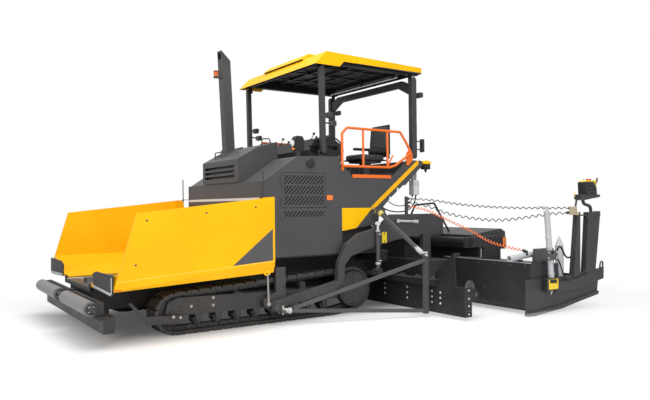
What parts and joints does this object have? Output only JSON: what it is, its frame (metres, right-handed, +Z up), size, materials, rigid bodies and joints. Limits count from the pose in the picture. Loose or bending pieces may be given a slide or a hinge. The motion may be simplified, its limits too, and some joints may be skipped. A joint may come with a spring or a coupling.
{
  "type": "asphalt paver",
  "caption": "Crawler road paver with folding hopper wings, push rollers, roofed operator stand, augers and an extending floating screed on tow arms.",
  "frame": {"origin": "on the ground under the centre of the machine's overall box", "axes": "+X forward to the hopper, +Y to the machine's left, +Z up"},
  "size_m": [7.3179, 6.236, 3.9823],
  "materials": {
    "yellow_paint": "gloss",
    "grey_paint": "satin",
    "orange_paint": "gloss",
    "worn_steel": "satin",
    "chrome": "polished",
    "silver_tube": "satin",
    "white_paint": "satin",
    "lamp_housing": "satin",
    "black_cord": "satin",
    "orange_cord": "satin",
    "track_steel": "matt",
    "rubber": "matt",
    "seat_cover": "matt"
  },
  "bodies": {
    "tractor": {"main_frame": "grey_paint", "fender_decks": "grey_paint", "bulkhead": "grey_paint", "head_lamps": "lamp_housing", "rear_cabinets": "white_paint", "front_beam": "grey_paint", "conveyor": "worn_steel", "engine": "track_steel", "track_left": "track_steel", "track_right": "track_steel", "running_gear_left": "grey_paint", "running_gear_right": "grey_paint", "side_walls": "grey_paint", "lower_panels": "grey_paint", "rear_panels": "yellow_paint", "hood": "grey_paint", "air_box": "grey_paint", "exhaust_stack": "grey_paint", "platform": "grey_paint", "dashboard": "grey_paint", "seats": "seat_cover", "seat_pedestals": "grey_paint", "rails": "orange_paint", "tow_posts": "grey_paint", "tunnel_plates": "grey_paint", "tunnel_braces": "grey_paint"},
    "wing_left_body": {"wing_left": "yellow_paint", "flap_left": "rubber"},
    "wing_right_body": {"wing_right": "yellow_paint", "flap_right": "rubber"},
    "push_beam_body": {"push_beam": "grey_paint"},
    "push_roller_left_body": {"push_roller_left": "worn_steel"},
    "push_roller_right_body": {"push_roller_right": "worn_steel"},
    "door_left_body": {"grille_door_left": "grey_paint"},
    "door_right_body": {"grille_door_right": "grey_paint"},
    "rear_posts_body": {"rear_posts": "grey_paint"},
    "front_posts_body": {"front_posts": "grey_paint"},
    "roof_body": {"roof": "yellow_paint"},
    "screed": {"tow_arms": "grey_paint", "screed_body": "grey_paint", "cord_upper": "black_cord", "cord_lower": "black_cord", "cord_orange": "orange_cord"},
    "extension_left_body": {"extension_left": "grey_paint", "end_plate_left": "grey_paint", "light_pole_left": "silver_tube"},
    "extension_right_body": {"extension_right": "grey_paint", "end_plate_right": "grey_paint", "light_pole_right": "silver_tube"},
    "auger_left_body": {"auger_left": "worn_steel"},
    "auger_right_body": {"auger_right": "worn_steel"},
    "lift_barrel_left_body": {"lift_barrel_left": "grey_paint"},
    "lift_barrel_right_body": {"lift_barrel_right": "grey_paint"},
    "lift_rod_left_body": {"lift_rod_left": "chrome"},
    "lift_rod_right_body": {"lift_rod_right": "chrome"}
  },
  "joints": [
    {"name": "wing_fold_left", "type": "hinge", "parent": "tractor", "child": "wing_left_body", "pos_m": [2.3, 0.64, 0.62], "axis": [1, 0, 0], "range_deg": [0, 50]},
    {"name": "push_roller_spin_left", "type": "hinge", "parent": "push_beam_body", "child": "push_roller_left_body", "pos_m": [3.566, 0.79, 0.445], "axis": [0, 1, 0], "continuous": true},
    {"name": "grille_door_left", "type": "hinge", "parent": "tractor", "child": "door_left_body", "pos_m": [1.013, 1.2575, 1.79], "axis": [0, 0, -1], "range_deg": [0, 110]},
    {"name": "extension_slide_left", "type": "slide", "parent": "screed", "child": "extension_left_body", "axis": [0, -1, 0], "range_m": [0, 1.25], "deforming": ["cord_upper", "cord_lower", "cord_orange"]},
    {"name": "auger_spin_left", "type": "hinge", "parent": "tractor", "child": "auger_left_body", "pos_m": [-1.23, 1.3, 0.33], "axis": [0, 1, 0], "continuous": true},
    {"name": "lift_barrel_tilt_left", "type": "hinge", "parent": "tractor", "child": "lift_barrel_left_body", "pos_m": [-0.5, 1.45, 0.625], "axis": [0, 1, 0], "range_deg": [0, 4.63]},
    {"name": "lift_rod_slide_left", "type": "slide", "parent": "lift_barrel_left_body", "child": "lift_rod_left_body", "axis": [0, 0, 1], "range_m": [0, 0.096]},
    {"name": "wing_fold_right", "type": "hinge", "parent": "tractor", "child": "wing_right_body", "pos_m": [2.3, -0.64, 0.62], "axis": [-1, 0, 0], "range_deg": [0, 50]},
    {"name": "push_roller_spin_right", "type": "hinge", "parent": "push_beam_body", "child": "push_roller_right_body", "pos_m": [3.566, -0.79, 0.445], "axis": [0, 1, 0], "continuous": true},
    {"name": "grille_door_right", "type": "hinge", "parent": "tractor", "child": "door_right_body", "pos_m": [1.013, -1.2575, 1.79], "axis": [0, 0, 1], "range_deg": [0, 110]},
    {"name": "extension_slide_right", "type": "slide", "parent": "screed", "child": "extension_right_body", "axis": [0, 1, 0], "range_m": [0, 1.25]},
    {"name": "auger_spin_right", "type": "hinge", "parent": "tractor", "child": "auger_right_body", "pos_m": [-1.23, -1.3, 0.33], "axis": [0, 1, 0], "continuous": true},
    {"name": "lift_barrel_tilt_right", "type": "hinge", "parent": "tractor", "child": "lift_barrel_right_body", "pos_m": [-0.5, -1.45, 0.625], "axis": [0, 1, 0], "range_deg": [0, 4.63]},
    {"name": "lift_rod_slide_right", "type": "slide", "parent": "lift_barrel_right_body", "child": "lift_rod_right_body", "axis": [0, 0, 1], "range_m": [0, 0.096]},
    {"name": "push_beam_swing", "type": "hinge", "parent": "tractor", "child": "push_beam_body", "pos_m": [3.453, 0, 0.445], "axis": [0, 0, 1], "range_deg": [-5, 5]},
    {"name": "roof_fold", "type": "hinge", "parent": "tractor", "child": "rear_posts_body", "pos_m": [-1.5, 0, 2.356], "axis": [0, -1, 0], "range_deg": [0, 60]},
    {"name": "roof_level", "type": "hinge", "parent": "rear_posts_body", "child": "roof_body", "pos_m": [-1.5, 0, 3.56], "axis": [0, -1, 0], "range_deg": [-60, 0]},
    {"name": "front_post_fold", "type": "hinge", "parent": "tractor", "child": "front_posts_body", "pos_m": [0.25, 0, 2.356], "axis": [0, -1, 0], "range_deg": [0, 60]},
    {"name": "screed_lift", "type": "hinge", "parent": "tractor", "child": "screed", "pos_m": [1.2, 0, 0.235], "axis": [0, 1, 0], "range_deg": [0, 3.2]}
  ],
  "couplings": [
    {"joint": "roof_level", "follows": "roof_fold", "ratio": -1},
    {"joint": "front_post_fold", "follows": "roof_fold", "ratio": 1},
    {"joint": "lift_barrel_tilt_left", "follows": "screed_lift", "ratio": 1.444},
    {"joint": "lift_rod_slide_left", "follows": "screed_lift", "m_per_rad": 1.714},
    {"joint": "lift_barrel_tilt_right", "follows": "screed_lift", "ratio": 1.444},
    {"joint": "lift_rod_slide_right", "follows": "screed_lift", "m_per_rad": 1.714}
  ]
}
